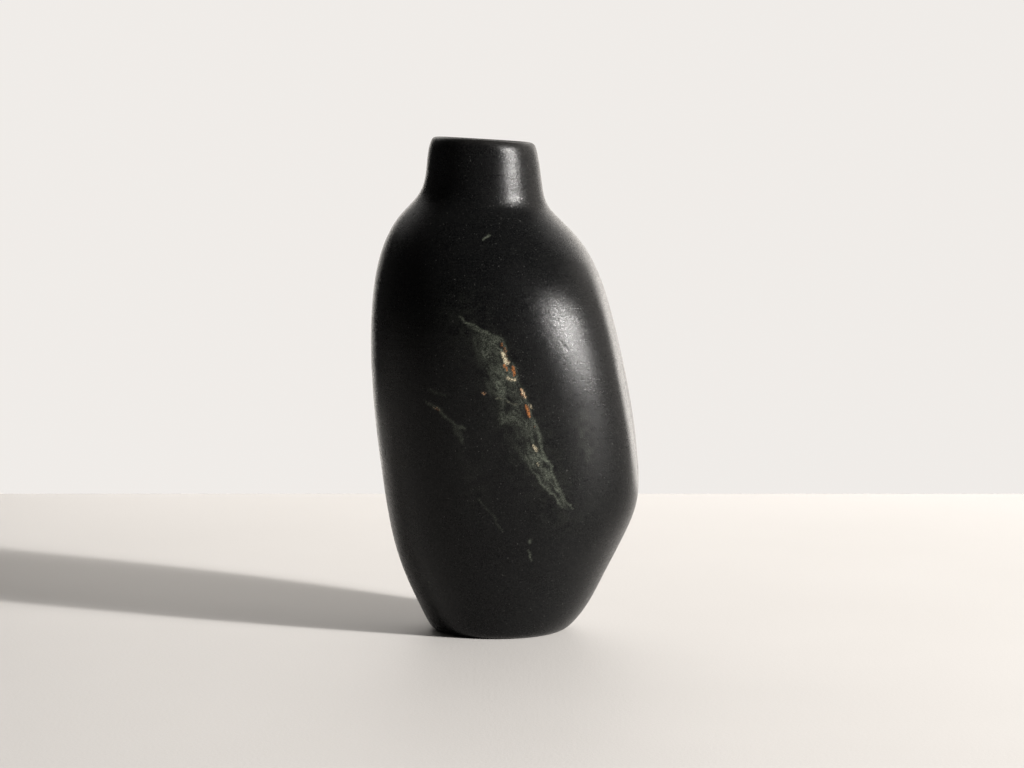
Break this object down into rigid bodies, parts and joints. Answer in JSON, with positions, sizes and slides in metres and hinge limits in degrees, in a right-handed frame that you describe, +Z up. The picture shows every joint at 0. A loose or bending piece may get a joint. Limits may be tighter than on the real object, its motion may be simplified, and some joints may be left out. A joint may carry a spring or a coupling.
{
  "type": "bottle vase",
  "caption": "Hand-built black clay bottle vase with a pressed flat side, sloping shoulders and a short off-centre neck.",
  "frame": {"origin": "centre of the foot, on the surface that the vase stands on", "axes": "+Z up through the mouth, -Y the front with the veined patch, +X towards the pressed flat"},
  "size_m": [0.1125, 0.1053, 0.2068],
  "materials": {
    "black_clay": "satin"
  },
  "bodies": {
    "root": {"base_slab": "black_clay", "lower_wall": "black_clay", "belly_band": "black_clay", "upper_wall": "black_clay", "shoulder_ring": "black_clay", "neck_collar": "black_clay", "lip_coil": "black_clay"}
  },
  "joints": []
}
